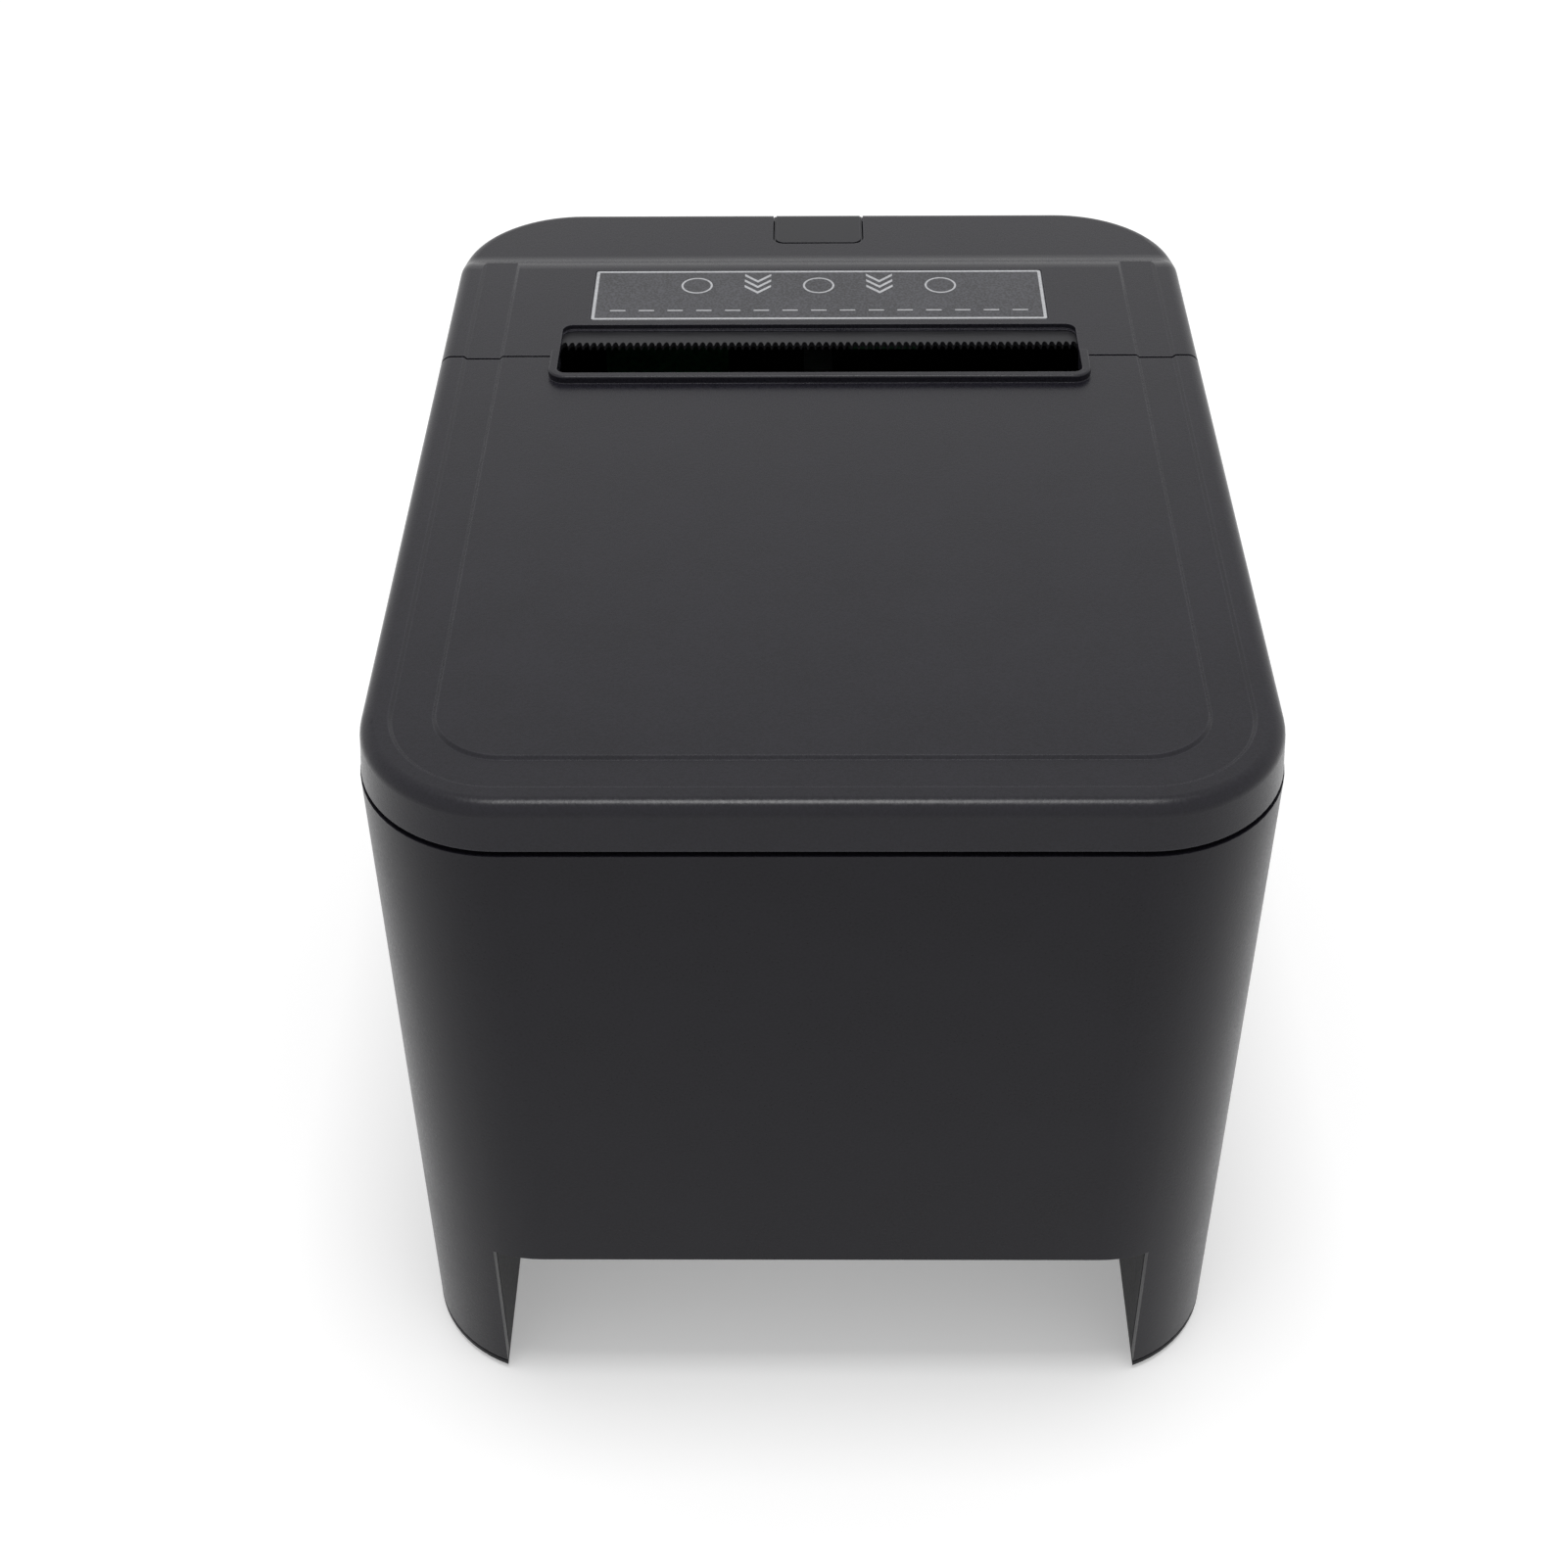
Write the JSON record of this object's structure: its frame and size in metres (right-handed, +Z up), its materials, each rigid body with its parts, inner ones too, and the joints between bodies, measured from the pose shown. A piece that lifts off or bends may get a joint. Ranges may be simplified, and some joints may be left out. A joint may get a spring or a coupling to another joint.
{
  "type": "receipt printer",
  "caption": "Black desktop thermal receipt printer with a hinged paper lid, a serrated tear bar at the top slot, a release button and a cable bay under the rear wall.",
  "frame": {"origin": "on the table, under the middle of the case", "axes": "+Z up, -Y towards the front with the buttons, +Y towards the rear wall with the cable bay"},
  "size_m": [0.145, 0.192, 0.1407],
  "materials": {
    "case_plastic": "fine moulded texture, matte black",
    "cover_plastic": "fine moulded texture, matte black",
    "button_plastic": "fine moulded texture, matte black",
    "inner_plastic": "smooth matte black",
    "foot_rubber": "matte",
    "platen_rubber": "ground, matte",
    "plated_steel": "zinc plated",
    "heatsink_metal": "extruded",
    "head_ceramic": "glossy strip",
    "gear_nylon": "white nylon",
    "pinion_brass": "turned",
    "circuit_board": "green solder mask",
    "lens_plastic": "clear milky",
    "label_film": "printed film, dark grey with a pale frame",
    "socket_plastic": "moulded black",
    "socket_shell": "tin plated"
  },
  "bodies": {
    "base": {"outer_case": "case_plastic", "base_tray": "case_plastic", "rubber_feet": "foot_rubber", "tray_screws": "plated_steel", "front_cover": "cover_plastic", "panel_board": "circuit_board", "indicator_lenses": "lens_plastic", "status_label": "label_film", "tear_bar": "plated_steel", "tear_bar_screws": "plated_steel", "mech_frame": "plated_steel", "print_head": "head_ceramic", "head_heatsink": "heatsink_metal", "head_spring": "plated_steel", "paper_guide": "inner_plastic", "feed_motor": "plated_steel", "inner_chassis": "inner_plastic", "hinge_brackets": "inner_plastic", "hinge_pins": "plated_steel", "feed_switch": "circuit_board", "power_switch": "inner_plastic", "main_board": "circuit_board", "connector_panel": "plated_steel", "power_socket": "socket_plastic", "lan_socket": "socket_shell", "usb_socket": "socket_shell", "drawer_socket": "socket_plastic"},
    "lid_body": {"lid": "cover_plastic", "lid_liner": "inner_plastic", "liner_screws": "plated_steel", "platen_bracket": "plated_steel", "platen_bushings": "gear_nylon"},
    "platen": {"platen_roller": "platen_rubber", "platen_shaft": "plated_steel", "platen_gear": "gear_nylon"},
    "idler": {"idler_gear": "gear_nylon"},
    "pinion": {"motor_pinion": "pinion_brass"},
    "release": {"release_button": "button_plastic"},
    "latch": {"latch_lever": "plated_steel"},
    "feed": {"feed_button": "button_plastic"},
    "rocker": {"power_rocker": "button_plastic"}
  },
  "joints": [
    {"name": "lid_hinge", "type": "hinge", "parent": "base", "child": "lid_body", "pos_m": [0, 0.0919, 0.13495], "axis": [-1, 0, 0], "range_deg": [0, 95]},
    {"name": "platen_spin", "type": "hinge", "parent": "lid_body", "child": "platen", "pos_m": [0, -0.028, 0.1197], "axis": [1, 0, 0], "continuous": true},
    {"name": "idler_spin", "type": "hinge", "parent": "base", "child": "idler", "pos_m": [0, -0.02515, 0.09732], "axis": [1, 0, 0], "continuous": true},
    {"name": "pinion_spin", "type": "hinge", "parent": "base", "child": "pinion", "pos_m": [0, -0.04231, 0.09272], "axis": [1, 0, 0], "continuous": true},
    {"name": "release_press", "type": "slide", "parent": "base", "child": "release", "axis": [0, 0, -1], "range_m": [0, 0.0022], "stiffness_N_per_m": 300, "springref_m": -0.003},
    {"name": "latch_turn", "type": "hinge", "parent": "base", "child": "latch", "pos_m": [0, -0.0483, 0.111], "axis": [1, 0, 0], "range_deg": [0, 3.3]},
    {"name": "feed_press", "type": "slide", "parent": "base", "child": "feed", "axis": [0, 1, 0], "range_m": [0, 0.0008], "stiffness_N_per_m": 400, "springref_m": -0.001},
    {"name": "rocker_tip", "type": "hinge", "parent": "base", "child": "rocker", "pos_m": [-0.04, -0.0925, 0.0283], "axis": [-1, 0, 0], "range_deg": [0, 10]}
  ],
  "couplings": [
    {"joint": "idler_spin", "follows": "platen_spin", "ratio": -0.75},
    {"joint": "pinion_spin", "follows": "platen_spin", "ratio": 2},
    {"joint": "latch_turn", "follows": "release_press", "rad_per_m": 25.445}
  ]
}
